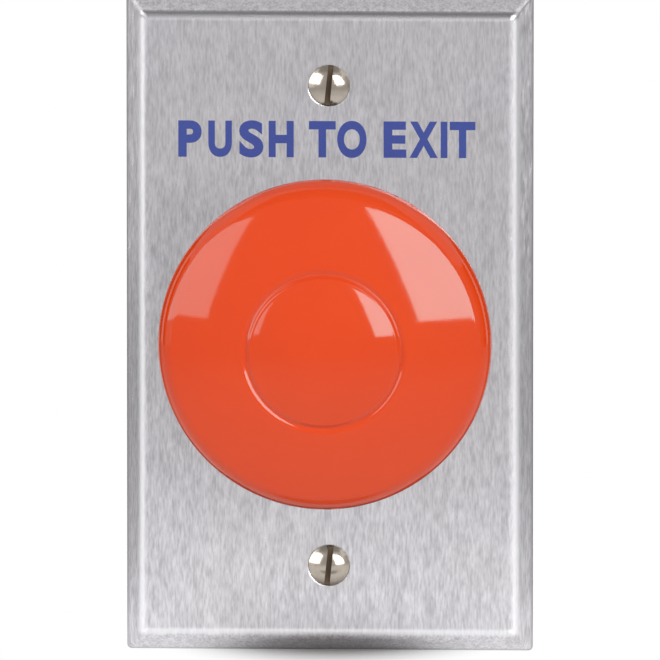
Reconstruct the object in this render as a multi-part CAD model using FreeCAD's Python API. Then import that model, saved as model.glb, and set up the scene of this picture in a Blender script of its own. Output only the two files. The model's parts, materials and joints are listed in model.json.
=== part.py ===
import FreeCAD, Part
import math
import os

os.makedirs("parts", exist_ok=True)

# Door exit button: a bevelled wall plate with a large mushroom button, its guide bushing
# and a two-contact block behind the plate. Millimetres. The wall is the plane y = 0, the
# front faces -Y, +X is to the viewer's right and +Z is up. The button moves along +Y.

# Wall plate, single gang
plate_width = 69.85
plate_height = 114.3
plate_depth = 5.0
sheet = 0.9
edge_slope = 31.0
edge_bend = 2.3
ridge_round = 1.0
screw_spacing = 83.34

# Mounting screws, oval head
screw_thread = 3.505
screw_head_width = 7.1
screw_dome_height = 1.5
screw_length = 25.4
screw_cone_angle = 82.0
screw_slot_width = 1.0
screw_slot_depth = 1.25
screw_slot_lean = 6.0
screw_hole_width = 3.9
dimple_wall = 0.75

# Travel, and the clearances that the pieces share
travel = 5.5
contact_gap = 4.0
end_clearance = 0.5
rest_gap = 0.05
slide_gap = 0.05
thread_gap = 0.05
seat_gap = 0.05
guide_gap = 0.2
spring_end_gap = 0.02

# Mushroom cap
cap_width = 57.0
cap_stand_off = 20.2
cap_rim_round = 4.8
cap_dome_radius = 62.0
cap_wall = 2.4
cap_skirt_depth = 7.0
cap_skirt_draft = 9.0
cap_edge_bevel = 0.5
cap_boss_wall = 4.0
cap_rib_count = 6
cap_rib_thickness = 1.4
cap_rib_height = 5.0

# Centre cover in the cap
cover_width = 28.0
cover_dome_radius = 34.0
cover_edge_height = 2.5
cover_edge_bevel = 0.45
cover_wall = 1.8
cover_sink = 0.35
cover_gap = 0.15
cover_lip_width = 2.2
cover_crush_rib_count = 6
cover_crush_rib_width = 0.8
recess_bevel = 0.4

# Pan-head screws: in the cap, through the contact block and at the terminals
pan_slot_width = 0.9
cap_screw_thread = 3.9
cap_screw_head_width = 7.6
cap_screw_head_height = 2.6
cap_screw_length = 14.0
block_screw_thread = 2.9
block_screw_head_width = 5.4
block_screw_head_height = 1.9
block_screw_bite = 7.5
terminal_screw_thread = 3.4
terminal_screw_head_width = 6.2
terminal_screw_head_height = 2.1
terminal_screw_length = 6.6

# Plunger
stem_width = 12.0
spigot_step = 1.0
spigot_length = 4.0
shoulder_lip = 0.1
shoulder_thickness = 2.0
tail_width = 7.0
tail_length = 1.6
clip_groove_depth = 1.0
clip_land = 0.2
stem_bevel = 0.5

# Retaining clip
clip_rim = 1.8
clip_thickness = 0.8
clip_mouth = 7.6
clip_relief_angle = 60.0

# Springs
wire_sides = 6
coil_runs = 16
return_wire = 1.2
return_turns = 5.0
return_inner_gap = 0.9
return_outer_gap = 0.9
carrier_wire = 0.6
carrier_coil_width = 5.6
carrier_turns = 6.0
bridge_wire = 0.5
bridge_coil_width = 4.4
bridge_turns = 3.5
bridge_spring_length = 4.5

# Guide bushing
bushing_wall = 2.0
bushing_collar_step = 1.6
bushing_collar_height = 3.0
bushing_flange_step = 4.0
bushing_flange_thickness = 2.0
bushing_rear_length = 9.0
bushing_bevel = 0.6
bushing_notch_count = 6
bushing_notch_width = 3.0
spring_pocket_floor = -1.0

# Rings between bushing and plate
hole_clearance = 0.3
gasket_inset = 0.5
gasket_thickness = 1.0
washer_rim = 3.0
washer_thickness = 0.8
washer_tooth_count = 12
nut_wall = 2.5
nut_thickness = 4.0

# Stem seal, a square-cut ring
seal_section = 1.5
seal_position = 3.9

# Block adapter and its set screw
adapter_gap = 0.3
adapter_wall = 4.0
adapter_corner = 4.0
adapter_ledge = 1.0
adapter_screw_wall = 1.3
adapter_window_height = 9.0
adapter_window_depth = 4.5
set_screw_thread = 4.0
set_screw_socket = 2.0

# Contact bars and their fixed terminals
channel_offset = 8.5
bar_width = 5.4
bar_thickness = 0.8
bar_length = 21.0
bar_corner = 1.0
bar_end_gap = 1.0
tip_width = 3.0
tip_height = 0.8
tip_spacing = 17.0
strip_width = 6.4
strip_thickness = 1.0
strip_overhang = 1.7
strip_bend_gap = 1.0
strip_pad_reach = 3.8
clamp_size = 6.6
clamp_thickness = 1.2
clamp_side_gap = 0.4
clamp_end_gap = 0.3

# Contact carrier
nose_width = 7.6
carrier_height = 8.8
carrier_wall = 1.4
carrier_front_gap = 0.3
carrier_pocket_depth = 8.0
tail_touch = 0.1

# Contact block housing and cover
block_side_wall = 2.5
block_front_wall = 1.5
block_end_inset = 1.0
block_edge = 1.0
block_cavity_wall = 2.1
block_screw_wall = 0.6
block_cover_thickness = 2.0
tongue_wall = 0.8
tongue_edge = 0.15
grip_groove_count = 3
grip_groove_depth = 0.6
grip_groove_width = 1.5
grip_groove_pitch = 3.0

# Widths that follow from the sizes above
spigot_width = stem_width - 2 * spigot_step
boss_width = spigot_width + 2 * cap_boss_wall
return_coil_width = stem_width + 2 * return_inner_gap + 2 * return_wire
shoulder_width = return_coil_width + 2 * shoulder_lip
spring_pocket_width = return_coil_width + 2 * return_outer_gap
bushing_thread = spring_pocket_width + 2 * bushing_wall
collar_width = bushing_thread + 2 * bushing_collar_step
flange_width = bushing_thread + 2 * bushing_flange_step
adapter_width = bushing_thread + 2 * adapter_wall
clip_width = stem_width + 2 * clip_rim

cavity_height = bar_length + 2 * bar_end_gap
well_reach = cavity_height / 2 + block_cavity_wall
well_width = clamp_size + 2 * clamp_side_gap
terminal_reach = well_reach + clamp_size / 2 + clamp_end_gap
strip_inner_reach = tip_spacing / 2 - strip_overhang
strip_bend_reach = cavity_height / 2 + strip_bend_gap
strip_outer_reach = terminal_reach + strip_pad_reach
window_width = bar_width + 2 * guide_gap
carrier_width = 2 * (channel_offset + carrier_wall) + window_width
cavity_width = carrier_width + 2 * guide_gap
block_width = cavity_width + 2 * block_side_wall
block_height = 2 * (strip_outer_reach + block_end_inset)
block_screw_hole = block_screw_thread + 2 * guide_gap
block_screw_reach = cavity_height / 2 + block_screw_wall + block_screw_hole / 2
tongue_width = 2 * (channel_offset - well_width / 2 - tongue_wall)
tongue_reach = block_screw_reach + block_screw_head_width / 2 + tongue_edge
adapter_height = 2 * (block_screw_reach + block_screw_thread / 2 + adapter_screw_wall)

# Places along the button's axis, out of the wall is minus
face = -plate_depth
sheet_back = face + sheet
flange_back = face - gasket_thickness
flange_front = flange_back - bushing_flange_thickness
collar_front = flange_front - bushing_collar_height
nut_front = sheet_back + washer_thickness
nut_back = nut_front + nut_thickness
bushing_back = bushing_rear_length

boss_back = collar_front - travel - end_clearance
shoulder_back = boss_back + shoulder_thickness
clip_front = bushing_back + rest_gap
clip_back = clip_front + clip_thickness
stem_back = clip_back + rest_gap + clip_land + stem_bevel
tail_back = stem_back + tail_length

adapter_front = nut_back + adapter_gap
adapter_back = stem_back + travel + end_clearance
block_front = adapter_back
cavity_front = block_front + block_front_wall
nose_front = tail_back + tail_touch
carrier_front = cavity_front + carrier_front_gap
no_spring_front = carrier_front + carrier_wall
no_bar_front = no_spring_front + bridge_spring_length
no_bar_back = no_bar_front + bar_thickness
pad_front = no_bar_back + 2 * tip_height + contact_gap + rest_gap
pad_back = pad_front + strip_thickness
nc_strip_front = no_bar_front
nc_bar_front = nc_strip_front + strip_thickness + 2 * tip_height + rest_gap
nc_bar_back = nc_bar_front + bar_thickness
nc_window_front = nc_bar_front - (travel - contact_gap) - rest_gap
nc_window_back = nc_bar_back + bridge_spring_length
carrier_back = nc_window_back + carrier_wall
carrier_pocket_floor = carrier_back - carrier_pocket_depth
cover_front = carrier_back + travel + end_clearance
block_back = cover_front + block_cover_thickness

# How far a cutting shape runs past the face that it opens
overrun = 1.0

ORIGIN = FreeCAD.Vector(0, 0, 0)
X_AXIS = FreeCAD.Vector(1, 0, 0)
Y_AXIS = FreeCAD.Vector(0, 1, 0)
Z_AXIS = FreeCAD.Vector(0, 0, 1)


# Shared ways of making solids


def arc_between(start, end, centre):
    """The shorter arc between two points about a centre, in the X-Y plane."""
    circle = Part.Circle(centre, Z_AXIS, start.distanceToPoint(centre))
    first = circle.parameter(start)
    last = circle.parameter(end)
    if (last - first) % (2 * math.pi) > math.pi:
        first, last = last, first
    return Part.ArcOfCircle(circle, first, last).toShape()


def section(start, steps):
    """A flat face in the X-Y plane, closed back to its start.

    A step (x, y) is a line to that point, and (x, y, cx, cy) an arc to it about (cx, cy).
    """
    edges = []
    first = FreeCAD.Vector(start[0], start[1], 0)
    here = first
    for step in steps:
        there = FreeCAD.Vector(step[0], step[1], 0)
        if len(step) == 2:
            edges.append(Part.makeLine(here, there))
        else:
            edges.append(arc_between(here, there, FreeCAD.Vector(step[2], step[3], 0)))
        here = there
    edges.append(Part.makeLine(here, first))
    return Part.Face(Part.Wire(edges))


def turned(start, steps):
    """A solid turned about the button's axis, from a section of (radius, y) points."""
    return section(start, steps).revolve(ORIGIN, Y_AXIS, 360)


def rod(width, front, back, x=0.0, z=0.0):
    """A round bar along the button's axis."""
    return Part.makeCylinder(width / 2, back - front, FreeCAD.Vector(x, front, z), Y_AXIS)


def ring(outer_width, inner_width, front, back):
    """A flat ring about the button's axis."""
    outer = outer_width / 2
    inner = inner_width / 2
    return turned((inner, front), [(outer, front), (outer, back), (inner, back)])


def block(x_low, x_high, y_low, y_high, z_low, z_high):
    """A rectangular block between two corners."""
    corner = FreeCAD.Vector(x_low, y_low, z_low)
    return Part.makeBox(x_high - x_low, y_high - y_low, z_high - z_low, corner)


def centred(width, height, front, back, x=0.0, z=0.0):
    """A rectangular block centred on a line along the button's axis."""
    return block(x - width / 2, x + width / 2, front, back, z - height / 2, z + height / 2)


def hexagon(across, centre, u, v):
    """A flat hexagonal face of a given width across its corners, in the plane of u and v."""
    corners = []
    for i in range(7):
        angle = math.pi / 3 * i
        corners.append(centre + u * (across / 2 * math.cos(angle)) + v * (across / 2 * math.sin(angle)))
    return Part.Face(Part.makePolygon(corners))


def around(shape, count):
    """Copies of a shape spaced evenly around the button's axis."""
    copies = []
    for i in range(count):
        copy = shape.copy()
        copy.rotate(ORIGIN, Y_AXIS, 360.0 * i / count)
        copies.append(copy)
    return copies


def at_places(shape, places):
    """One group of copies of a shape, one at each (x, z)."""
    copies = []
    for x, z in places:
        copy = shape.copy()
        copy.translate(FreeCAD.Vector(x, 0, z))
        copies.append(copy)
    return Part.Compound(copies)


def above_and_below(reach):
    """The two places on the centre line at a reach up and down."""
    return [(0, reach), (0, -reach)]


def round_along_axis(shape, radius):
    """A shape with its straight edges along the button's axis rounded."""
    found = []
    for edge in shape.Edges:
        if edge.Curve.TypeId == "Part::GeomLine" and abs(edge.Curve.Direction.dot(Y_AXIS)) > 0.999:
            found.append(edge)
    return shape.makeFillet(radius, found)


def on_circle(centre, radius, direction):
    """The point of a circle that lies in a direction from its centre, in the plane of a section."""
    length = math.hypot(direction[0], direction[1])
    return (centre[0] + radius * direction[0] / length, centre[1] + radius * direction[1] / length)


def coil_spring(width, wire, turns, front, back, x=0.0):
    """A compression spring along the button's axis, its flat-sided wire laid in short straight runs."""
    radius = (width - wire) / 2
    height = back - front - wire
    count = round(turns * coil_runs)
    centre_line = []
    for i in range(count + 1):
        angle = 2 * math.pi * turns * i / count
        y = front + wire / 2 + height * i / count
        centre_line.append(FreeCAD.Vector(x + radius * math.cos(angle), y, radius * math.sin(angle)))
    start = centre_line[0]
    along = (centre_line[1] - start).normalize()
    side = along.cross(X_AXIS).normalize()
    outline = wire_outline(wire_sides, wire, start, side.cross(along), side)
    return Part.makePolygon(centre_line).makePipeShell([outline], True, False, 1)


def wire_outline(sides, width, centre, u, v):
    """A closed polygon with a flat side to each of its neighbours, as wide across as a round wire."""
    corners = []
    for i in range(sides + 1):
        angle = 2 * math.pi * (i + 0.5) / sides
        corners.append(centre + u * (width / 2 * math.cos(angle)) + v * (width / 2 * math.sin(angle)))
    return Part.makePolygon(corners)


def pan_screw(head_width, head_height, thread, seat, tip):
    """A slotted pan-head screw along the button's axis, its head across the seat from its tip."""
    away = math.copysign(1, seat - tip)
    head = head_width / 2
    shank = thread / 2
    top = seat + away * head_height
    bevel = head_height / 3
    steps = [
        (shank / 2, tip),
        (shank, tip + away * shank / 2),
        (shank, seat),
        (head, seat),
        (head, top - away * bevel),
        (head - bevel, top),
        (0, top),
    ]
    slot_low, slot_high = sorted((top - away * head_height / 2, top + away * overrun))
    slot = centred(pan_slot_width, head_width + overrun, slot_low, slot_high)
    return turned((0, tip), steps).cut(slot)


# Wall plate


def pan_section(half_width, depth, bend):
    """Half outline of the plate across one direction: wall edge, end of the slope, bend and flat face."""
    slope = math.radians(edge_slope)
    tangent = bend * math.tan((math.pi / 2 - slope) / 2)
    corner = half_width - depth * math.tan(slope)
    slope_end = (corner + tangent * math.sin(slope), -depth + tangent * math.cos(slope))
    face_end = (corner - tangent, -depth)
    return slope_end, face_end, -depth + bend


def pan(width, height, depth, bend):
    """A block with four sloping mitred sides, its open end on the wall plane."""
    prisms = []
    for size, length in ((width, height), (height, width)):
        slope_end, face_end, bend_centre = pan_section(size / 2, depth, bend)
        steps = [
            slope_end,
            (face_end[0], face_end[1], face_end[0], bend_centre),
            (-face_end[0], face_end[1]),
            (-slope_end[0], slope_end[1], -face_end[0], bend_centre),
            (-size / 2, 0),
        ]
        prism = section((size / 2, 0), steps).extrude(FreeCAD.Vector(0, 0, length))
        prism.translate(FreeCAD.Vector(0, 0, -length / 2))
        prisms.append(prism)
    prisms[1].rotate(ORIGIN, Y_AXIS, 90)
    return prisms[0].common(prisms[1])


def round_ridges(shape, radius):
    """A pan with a round on each ridge where two of its sloping sides meet."""
    ridges = []
    for edge in shape.Edges:
        box = edge.BoundBox
        if min(box.XLength, box.YLength, box.ZLength) > radius / 4:
            ridges.append(edge)
    return shape.makeFillet(radius, ridges)


def screw_cone_depth(wide, narrow):
    """How deep a countersink of the screw's angle goes from one width to another."""
    return (wide - narrow) / 2 / math.tan(math.radians(screw_cone_angle / 2))


def make_wall_plate():
    wall_at_rim = sheet / math.cos(math.radians(edge_slope))
    outside = round_ridges(pan(plate_width, plate_height, plate_depth, edge_bend), ridge_round)
    inner_width = plate_width - 2 * wall_at_rim
    inner_height = plate_height - 2 * wall_at_rim
    plate = outside.cut(pan(inner_width, inner_height, plate_depth - sheet, edge_bend - sheet))
    seat = screw_head_width / 2 + seat_gap
    hole = screw_hole_width / 2
    depth = screw_cone_depth(2 * seat, screw_hole_width)
    for x, z in above_and_below(screw_spacing / 2):
        place = FreeCAD.Vector(x, face, z)
        dimple = Part.makeCone(seat + dimple_wall, hole + dimple_wall, depth, place, Y_AXIS)
        behind = centred(4 * seat, 4 * seat, sheet_back, face + depth, x, z)
        plate = plate.fuse(dimple.common(behind))
        plate = plate.cut(Part.makeCone(seat, hole, depth, place, Y_AXIS))
        plate = plate.cut(rod(screw_hole_width, face, face + depth + overrun, x, z))
    return plate.cut(rod(bushing_thread + hole_clearance, face - overrun, sheet_back + overrun))


def make_mounting_screws():
    sphere = (screw_head_width**2 / 4 + screw_dome_height**2) / (2 * screw_dome_height)
    top = face - screw_dome_height
    shank = screw_thread / 2
    cone_end = face + screw_cone_depth(screw_head_width, screw_thread)
    tip = face + screw_length
    steps = [
        (screw_head_width / 2, face, 0, top + sphere),
        (shank, cone_end),
        (shank, tip - shank / 2),
        (shank / 2, tip),
        (0, tip),
    ]
    slot = centred(screw_slot_width, 2 * screw_head_width, top - overrun, top + screw_slot_depth)
    slot.rotate(ORIGIN, Y_AXIS, screw_slot_lean)
    screw = turned((0, top), steps).cut(slot)
    return at_places(screw, above_and_below(screw_spacing / 2))


# Mushroom cap: a dome that runs into a rounded rim, with a recess for the cover in its middle

cap_widest = face - cap_stand_off
cap_back = cap_widest + cap_skirt_depth
rim_centre = (cap_width / 2 - cap_rim_round, cap_widest)
dome_reach = cap_dome_radius - cap_rim_round
dome_centre = cap_widest + math.sqrt(dome_reach**2 - rim_centre[0] ** 2)


def dome_at(radius, inset=0.0):
    """Where the cap's dome, or its inside, is at a distance from the axis."""
    return dome_centre - math.sqrt((cap_dome_radius - inset) ** 2 - radius**2)


def dome_join(inset=0.0):
    """The point where the dome, or its inside, meets the rim's round."""
    return on_circle((0, dome_centre), cap_dome_radius - inset, (rim_centre[0], cap_widest - dome_centre))


recess = cover_width / 2 + cover_gap
cover_edge_front = dome_at(cover_width / 2) + cover_sink
recess_floor = cover_edge_front + cover_edge_height
tub = recess + cap_wall
tub_back = recess_floor + cap_wall


def make_mushroom_cap():
    skirt = cap_width / 2 - cap_skirt_depth * math.tan(math.radians(cap_skirt_draft))
    socket_front = boss_back - spigot_length - seat_gap
    screw_hole = cap_screw_thread / 2 + guide_gap
    socket = spigot_width / 2 + seat_gap
    boss = boss_width / 2
    mouth = recess + recess_bevel
    steps = [
        (cap_width / 2, cap_widest),
        dome_join() + rim_centre,
        (mouth, dome_at(mouth), 0, dome_centre),
        (recess, dome_at(recess) + recess_bevel),
        (recess, recess_floor),
        (screw_hole, recess_floor),
        (screw_hole, socket_front),
        (socket, socket_front),
        (socket, boss_back),
        (boss, boss_back),
        (boss, tub_back),
        (tub, tub_back),
        (tub, dome_at(tub, cap_wall)),
        dome_join(cap_wall),
        (cap_width / 2 - cap_wall, cap_widest),
        (skirt - cap_wall, cap_back - cap_edge_bevel),
        (skirt - cap_wall + cap_edge_bevel, cap_back),
        (skirt - cap_edge_bevel, cap_back),
    ]
    shell = turned((skirt, cap_back - cap_edge_bevel), steps)
    return shell.fuse(around(cap_rib(), cap_rib_count)).removeSplitter()


def cap_rib():
    """One rib from the boss out to the skirt, its edges sunk halfway into the walls that it joins."""
    root = boss_width / 2 - cap_boss_wall / 2
    sink = cap_wall / 2
    back = dome_at(tub, cap_wall) + cap_rib_height
    steps = [
        (root, tub_back - sink),
        (tub - sink, tub_back - sink),
        (tub, dome_at(tub, sink)),
        dome_join(sink),
        (cap_width / 2 - sink, cap_widest),
        (cap_width / 2 - cap_wall, back),
    ]
    rib = section((root, back), steps).extrude(FreeCAD.Vector(0, 0, cap_rib_thickness))
    rib.translate(FreeCAD.Vector(0, 0, -cap_rib_thickness / 2))
    return rib


def make_centre_cover():
    edge = cover_width / 2
    centre = cover_edge_front + math.sqrt(cover_dome_radius**2 - edge**2)
    apex = centre - cover_dome_radius
    shoulder = edge - cover_edge_bevel
    lip = edge - cover_lip_width
    foot = recess_floor - seat_gap
    steps = [
        (edge, cover_edge_front + cover_edge_bevel),
        (shoulder, centre - math.sqrt(cover_dome_radius**2 - shoulder**2)),
        (0, apex, 0, centre),
        (0, apex + cover_wall),
        (lip, centre - math.sqrt(cover_dome_radius**2 - lip**2) + cover_wall),
        (lip, foot),
    ]
    cover = turned((edge, foot), steps)
    reach_in = edge - cover_lip_width / 2
    half = cover_crush_rib_width / 2
    rib = block(reach_in, recess - seat_gap, foot - cover_edge_height / 2, foot, -half, half)
    return cover.fuse(around(rib, cover_crush_rib_count)).removeSplitter()


def make_cap_screw():
    tip = recess_floor + cap_screw_length
    return pan_screw(cap_screw_head_width, cap_screw_head_height, cap_screw_thread, recess_floor, tip)


# Plunger, its clip and its guide


def make_plunger():
    stem = stem_width / 2
    spigot = spigot_width / 2
    shoulder = shoulder_width / 2
    tail = tail_width / 2
    groove = stem - clip_groove_depth
    spigot_front = boss_back - spigot_length
    screw_hole = cap_screw_thread / 2 + thread_gap
    screw_hole_end = recess_floor + cap_screw_length + overrun
    steps = [
        (spigot, spigot_front),
        (spigot, boss_back),
        (shoulder, boss_back),
        (shoulder, shoulder_back),
        (stem, shoulder_back),
        (stem, bushing_back),
        (groove, bushing_back),
        (groove, clip_back + rest_gap),
        (stem, clip_back + rest_gap),
        (stem, stem_back - stem_bevel),
        (stem - stem_bevel, stem_back),
        (tail, stem_back),
        (tail, tail_back - stem_bevel),
        (tail - stem_bevel, tail_back),
        (0, tail_back),
        (0, screw_hole_end),
        (screw_hole, screw_hole_end),
    ]
    return turned((screw_hole, spigot_front), steps)


def make_retaining_clip():
    inner = stem_width / 2 - clip_groove_depth + seat_gap
    clip = ring(clip_width, 2 * inner, clip_front, clip_back)
    front = clip_front - overrun
    back = clip_back + overrun
    cuts = [block(-clip_mouth / 2, clip_mouth / 2, front, back, 0, clip_width)]
    for angle in (-90 - clip_relief_angle, -90 + clip_relief_angle):
        relief = rod(clip_width / 2 - inner, front, back, x=inner)
        relief.rotate(ORIGIN, Y_AXIS, -angle)
        cuts.append(relief)
    return clip.cut(cuts)


def make_guide_bushing():
    flange = flange_width / 2
    collar = collar_width / 2
    barrel = bushing_thread / 2
    pocket = spring_pocket_width / 2
    bore = stem_width / 2 + slide_gap
    groove = bore + seal_section + seat_gap
    groove_front = seal_position - seal_section / 2 - seat_gap
    groove_back = seal_position + seal_section / 2 + seat_gap
    steps = [
        (collar - bushing_bevel, collar_front),
        (collar, collar_front + bushing_bevel),
        (collar, flange_front),
        (flange - bushing_bevel, flange_front),
        (flange, flange_front + bushing_bevel),
        (flange, flange_back),
        (barrel, flange_back),
        (barrel, bushing_back - bushing_bevel),
        (barrel - bushing_bevel, bushing_back),
        (bore, bushing_back),
        (bore, groove_back),
        (groove, groove_back),
        (groove, groove_front),
        (bore, groove_front),
        (bore, spring_pocket_floor),
        (pocket, spring_pocket_floor),
    ]
    half = bushing_notch_width / 2
    notch_back = flange_back + gasket_thickness / 2
    notch = block(collar, flange + overrun, flange_front - overrun, notch_back, -half, half)
    return turned((pocket, collar_front), steps).cut(around(notch, bushing_notch_count))


def make_stem_seal():
    inner = stem_width / 2 + slide_gap
    front = seal_position - seal_section / 2
    return ring(2 * (inner + seal_section), 2 * inner, front, front + seal_section)


def make_front_gasket():
    return ring(flange_width - 2 * gasket_inset, bushing_thread + 2 * seat_gap, flange_back, face)


def make_lock_washer():
    inner = bushing_thread / 2 + seat_gap
    root = inner + washer_rim / 2
    half_gap = math.pi * inner / washer_tooth_count / 2
    gap = block(0, root, sheet_back - overrun, nut_front + overrun, -half_gap, half_gap)
    washer = ring(bushing_thread + 2 * washer_rim, 2 * inner, sheet_back, nut_front)
    return washer.cut(around(gap, washer_tooth_count))


def make_ring_nut():
    flat = bushing_thread / 2 + nut_wall
    corner = flat / math.cos(math.pi / 6)
    bevel = (corner - flat) / 2
    hole = bushing_thread / 2 + thread_gap
    prism = hexagon(2 * corner, FreeCAD.Vector(0, nut_front, 0), X_AXIS, Z_AXIS)
    prism = prism.extrude(FreeCAD.Vector(0, nut_thickness, 0))
    steps = [
        (flat, nut_front),
        (corner, nut_front + bevel),
        (corner, nut_back - bevel),
        (flat, nut_back),
        (hole, nut_back),
    ]
    return prism.common(turned((hole, nut_front), steps))


# Springs


def make_return_spring():
    front = shoulder_back + spring_end_gap
    back = spring_pocket_floor - spring_end_gap
    return coil_spring(return_coil_width, return_wire, return_turns, front, back)


def make_carrier_spring():
    front = carrier_pocket_floor + spring_end_gap
    back = cover_front - spring_end_gap
    return coil_spring(carrier_coil_width, carrier_wire, carrier_turns, front, back)


def make_bridge_spring(pocket_front, x):
    front = pocket_front + spring_end_gap
    back = pocket_front + bridge_spring_length - spring_end_gap
    return coil_spring(bridge_coil_width, bridge_wire, bridge_turns, front, back, x)


# Block adapter and its set screw

grip_middle = (adapter_front + bushing_back) / 2
window_middle = (bushing_back + adapter_back) / 2


def make_block_adapter():
    body = centred(adapter_width, adapter_height, adapter_front, adapter_back)
    body = round_along_axis(body, adapter_corner)
    window_front = window_middle - adapter_window_depth / 2
    window_back = window_middle + adapter_window_depth / 2
    set_screw_hole = set_screw_thread / 2 + thread_gap
    screw_hole = block_screw_thread + 2 * thread_gap
    screw_hole_front = adapter_back - block_screw_bite - overrun
    cuts = [
        rod(bushing_thread + 2 * seat_gap, adapter_front - overrun, bushing_back + seat_gap),
        rod(bushing_thread - 2 * adapter_ledge, bushing_back, adapter_back + overrun),
        centred(2 * adapter_width, adapter_window_height, window_front, window_back),
        Part.makeCylinder(set_screw_hole, adapter_width, FreeCAD.Vector(0, grip_middle, 0), X_AXIS),
    ]
    for x, z in above_and_below(block_screw_reach):
        cuts.append(rod(screw_hole, screw_hole_front, adapter_back + overrun, x, z))
    return body.cut(cuts)


def make_adapter_set_screw():
    tip = FreeCAD.Vector(bushing_thread / 2 + rest_gap, grip_middle, 0)
    length = adapter_width / 2 - rest_gap - tip.x
    screw = Part.makeCylinder(set_screw_thread / 2, length, tip, X_AXIS)
    socket = hexagon(set_screw_socket, tip + X_AXIS * (length / 2), Y_AXIS, Z_AXIS)
    return screw.cut(socket.extrude(X_AXIS * length))


# Contact block: housing, cover and screws

channels = ((-channel_offset, nc_strip_front), (channel_offset, pad_front))
terminal_places = []
for channel_x in (-channel_offset, channel_offset):
    terminal_places.append((channel_x, terminal_reach))
    terminal_places.append((channel_x, -terminal_reach))


def strip_between(x, width, front, z_near, z_far):
    """A cut as wide as a terminal part, from a front level out through the back of the block."""
    z_low, z_high = sorted((z_near, z_far))
    return block(x - width / 2, x + width / 2, front, block_back + overrun, z_low, z_high)


def grip_grooves(side):
    """The finger grooves across the top (1) or bottom (-1) of the housing."""
    grooves = []
    middle = (block_front + pad_front) / 2
    first = middle - (grip_groove_count - 1) / 2 * grip_groove_pitch
    for i in range(grip_groove_count):
        front = first + i * grip_groove_pitch - grip_groove_width / 2
        back = front + grip_groove_width
        z_low, z_high = sorted((side * (block_height / 2 - grip_groove_depth), side * block_height))
        grooves.append(block(-block_width, block_width, front, back, z_low, z_high))
    return grooves


def make_block_housing():
    body = centred(block_width, block_height, block_front, block_back)
    body = round_along_axis(body, block_edge)
    nose_hole = nose_width + 2 * guide_gap
    tongue_seat = (tongue_width + 2 * seat_gap, 2 * (tongue_reach + seat_gap))
    cuts = [
        centred(cavity_width, cavity_height, cavity_front, block_back + overrun),
        centred(nose_hole, nose_hole, block_front - overrun, block_back),
        centred(tongue_seat[0], tongue_seat[1], cover_front, block_back + overrun),
    ]
    for x, z in above_and_below(block_screw_reach):
        cuts.append(rod(block_screw_hole, block_front - overrun, block_back, x, z))
    shank_hole_front = pad_back + clamp_thickness - terminal_screw_length - overrun
    for x, z in terminal_places:
        cuts.append(rod(terminal_screw_thread + 2 * guide_gap, shank_hole_front, pad_back, x, z))
    for side in (1, -1):
        cuts += grip_grooves(side)
        notch_root = side * (cavity_height / 2 - overrun)
        for x, strip_front in channels:
            notch_front = strip_front - seat_gap
            notch_width = strip_width + 2 * seat_gap
            cuts.append(strip_between(x, notch_width, notch_front, notch_root, side * well_reach))
            cuts.append(strip_between(x, well_width, pad_front, side * well_reach, side * block_height))
    return body.cut(cuts)


def make_block_cover():
    plate = centred(cavity_width - 2 * seat_gap, cavity_height - 2 * seat_gap, cover_front, block_back)
    cover = plate.fuse(centred(tongue_width, 2 * tongue_reach, cover_front, block_back))
    holes = []
    for x, z in above_and_below(block_screw_reach):
        holes.append(rod(block_screw_hole, cover_front - overrun, block_back + overrun, x, z))
    return cover.cut(holes).removeSplitter()


def make_block_screws():
    tip = adapter_back - block_screw_bite
    head = (block_screw_head_width, block_screw_head_height)
    screw = pan_screw(head[0], head[1], block_screw_thread, block_back, tip)
    return at_places(screw, above_and_below(block_screw_reach))


# Contact carrier, bars and terminals


def make_contact_carrier():
    body = centred(carrier_width, carrier_height, carrier_front, carrier_back)
    body = body.fuse(centred(nose_width, nose_width, nose_front, carrier_front + carrier_wall))
    through = carrier_height + 2 * overrun
    cuts = [
        centred(window_width, through, nc_window_front, nc_window_back, -channel_offset),
        centred(window_width, through, no_spring_front, no_bar_back + rest_gap, channel_offset),
        rod(carrier_coil_width + 2 * guide_gap, carrier_pocket_floor, carrier_back + overrun),
    ]
    return body.cut(cuts).removeSplitter()


def make_bridge(x, bar_front, tip_side):
    """A contact bar with a contact tip near each end, on its back (1) or its front (-1)."""
    bar_back = bar_front + bar_thickness
    bar = round_along_axis(centred(bar_width, bar_length, bar_front, bar_back, x), bar_corner)
    tip_front = bar_back if tip_side > 0 else bar_front - tip_height
    tips = []
    for z in (-tip_spacing / 2, tip_spacing / 2):
        tips.append(rod(tip_width, tip_front, tip_front + tip_height, x, z))
    return bar.fuse(tips).removeSplitter()


def make_terminal(x, strip_front, tip_side, side):
    """A fixed contact strip, above (1) or below (-1), from its tip inside to its pad under the screw."""
    strip_back = strip_front + strip_thickness
    outline = [(strip_inner_reach, strip_front)]
    if strip_front < pad_front:
        bend_out = strip_bend_reach + strip_thickness
        outline += [(bend_out, strip_front), (bend_out, pad_front)]
    outline += [(strip_outer_reach, pad_front), (strip_outer_reach, pad_back)]
    if strip_front < pad_front:
        outline += [(strip_bend_reach, pad_back), (strip_bend_reach, strip_back)]
    outline += [(strip_inner_reach, strip_back), (strip_inner_reach, strip_front)]
    corners = [FreeCAD.Vector(x - strip_width / 2, y, side * z) for z, y in outline]
    strip = Part.Face(Part.makePolygon(corners)).extrude(X_AXIS * strip_width)
    tip_front = strip_back if tip_side > 0 else strip_front - tip_height
    tip = rod(tip_width, tip_front, tip_front + tip_height, x, side * tip_spacing / 2)
    hole_width = terminal_screw_thread + 2 * thread_gap
    hole = rod(hole_width, pad_front - overrun, pad_back + overrun, x, side * terminal_reach)
    return strip.fuse(tip).cut(hole).removeSplitter()


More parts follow.
